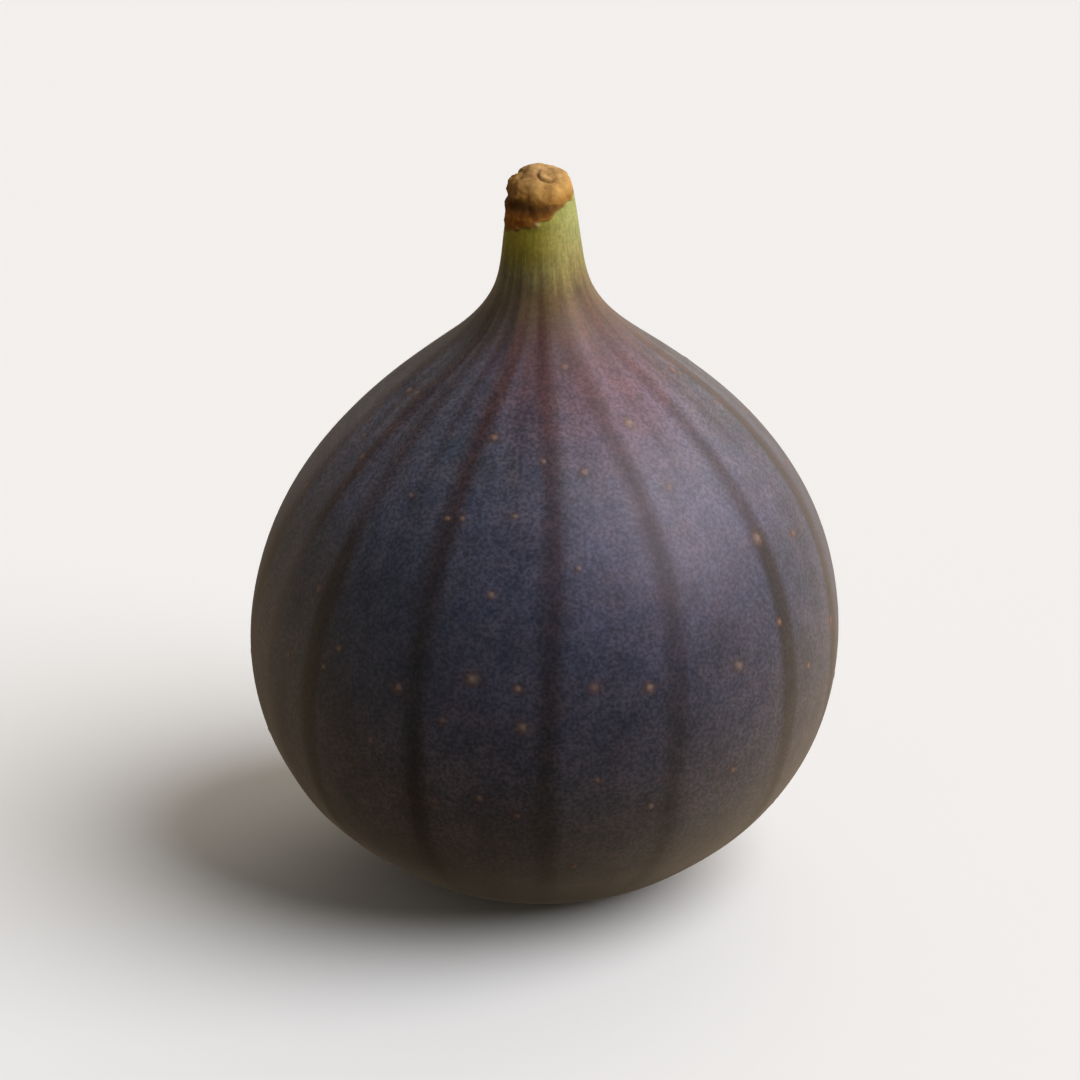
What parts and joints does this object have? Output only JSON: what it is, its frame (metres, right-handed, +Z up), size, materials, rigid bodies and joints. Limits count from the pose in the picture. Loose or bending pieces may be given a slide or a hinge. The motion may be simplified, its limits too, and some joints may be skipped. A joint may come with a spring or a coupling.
{
  "type": "fresh fig",
  "caption": "Whole fresh dark purple fig, round and ribbed, with a green neck that ends in a corky cut stalk; it stands upright on its flattened base.",
  "frame": {"origin": "on the surface it stands on, under the middle of the fruit (centre of the box's bottom)", "axes": "+Z up, from the eye underneath to the cut stalk; -Y is the side that faces the viewer"},
  "size_m": [0.0498, 0.0502, 0.0623],
  "materials": {
    "fig_skin": "waxy bloom over dark purple skin, satin"
  },
  "bodies": {
    "root": {"fig": "fig_skin"}
  },
  "joints": []
}
